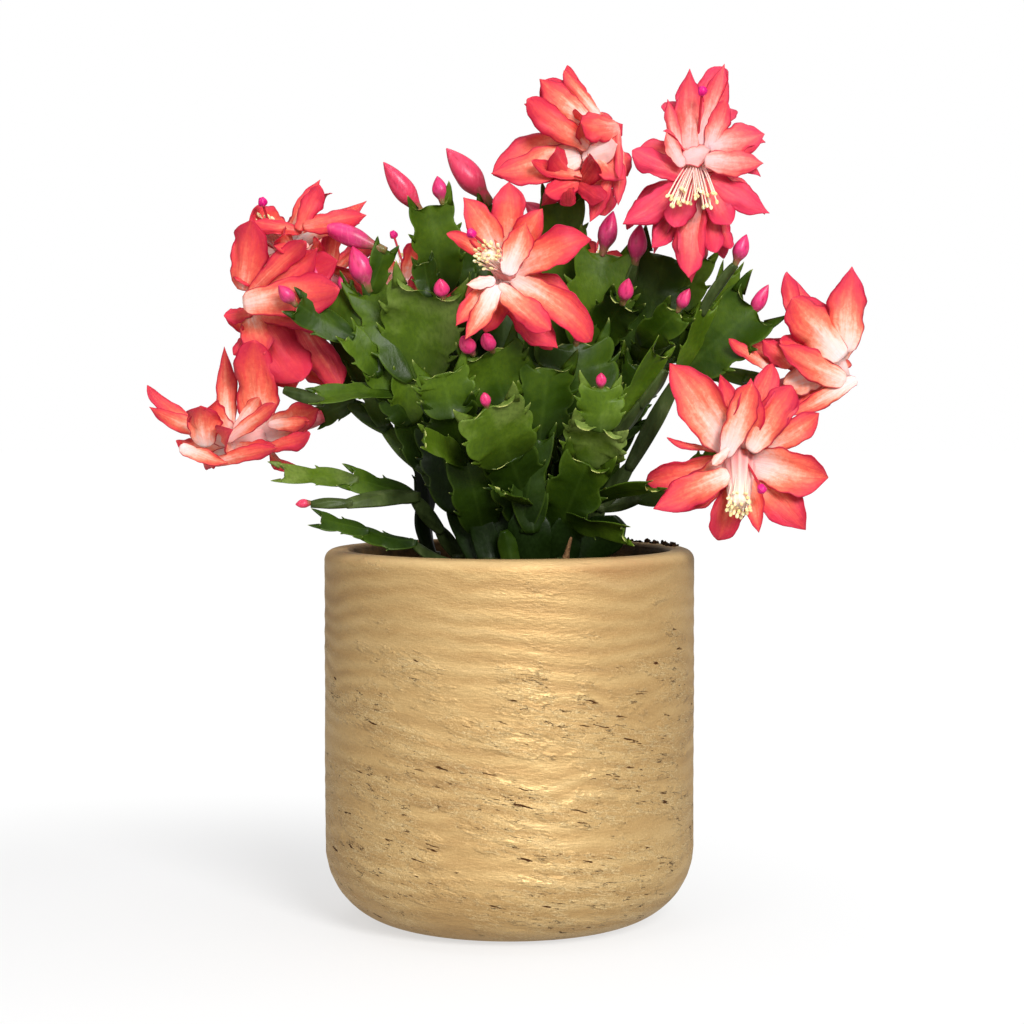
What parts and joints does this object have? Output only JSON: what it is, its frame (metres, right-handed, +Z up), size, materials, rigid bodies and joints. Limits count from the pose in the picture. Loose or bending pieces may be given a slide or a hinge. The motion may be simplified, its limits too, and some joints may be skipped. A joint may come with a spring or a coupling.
{
  "type": "potted christmas cactus",
  "caption": "Flowering christmas cactus with flat toothed stem segments, pink blooms and buds, growing from soil in a round gold-painted pot.",
  "frame": {"origin": "centre of the pot's flat base, on the surface it rests on", "axes": "+Z up, -Y towards the front of the plant, +X to its right as seen from the front"},
  "size_m": [0.2697, 0.1943, 0.3212],
  "materials": {
    "pot": "gold-painted concrete, satin",
    "soil": "loose potting soil, matt",
    "leaf": "fleshy green stem segments, satin",
    "petal": "thin pink petals, matt",
    "stamen": "cream filaments and anthers, matt",
    "style": "magenta style and stigma, satin",
    "bud": "pink buds, satin"
  },
  "bodies": {
    "root": {"pot": "pot", "soil": "soil", "stem_back_1": "leaf", "stem_back_2": "leaf", "stem_back_3": "leaf", "stem_back_4": "leaf", "stem_centre": "leaf", "stem_centre_right": "leaf", "stem_front_left": "leaf", "stem_front_right": "leaf", "stem_left": "leaf", "stem_low_left": "leaf", "stem_over_rim": "leaf", "stem_right": "leaf", "stem_upper_left": "leaf", "stem_upper_right": "leaf", "bloom_back_1": "petal", "bloom_back_2": "petal", "bloom_back_3": "petal", "bloom_centre": "petal", "bloom_left_behind": "petal", "bloom_lower_left": "petal", "bloom_lower_right": "petal", "bloom_right": "petal", "bloom_top_centre": "petal", "bloom_top_right": "petal", "bloom_upper_left": "petal", "bloom_back_1_stamens": "stamen", "bloom_back_2_stamens": "stamen", "bloom_back_3_stamens": "stamen", "bloom_centre_stamens": "stamen", "bloom_lower_right_stamens": "stamen", "bloom_top_right_stamens": "stamen", "bloom_upper_left_stamens": "stamen", "bloom_back_1_style": "style", "bloom_back_2_style": "style", "bloom_back_3_style": "style", "bloom_centre_style": "style", "bloom_lower_right_style": "style", "bloom_top_right_style": "style", "bloom_upper_left_style": "style", "bud_left_end": "bud", "bud_left_front": "bud", "bud_left_long": "bud", "bud_left_side": "bud", "bud_middle_behind": "bud", "bud_middle_front": "bud", "bud_middle_low": "bud", "bud_middle_right": "bud", "bud_middle_upper": "bud", "bud_over_big_leaf": "bud", "bud_right_leaf": "bud", "bud_right_low": "bud", "bud_right_tip": "bud", "bud_top_left_inner": "bud", "bud_top_left_outer": "bud", "bud_top_left_small": "bud", "bud_under_bloom_left": "bud", "bud_under_bloom_right": "bud"}
  },
  "joints": []
}
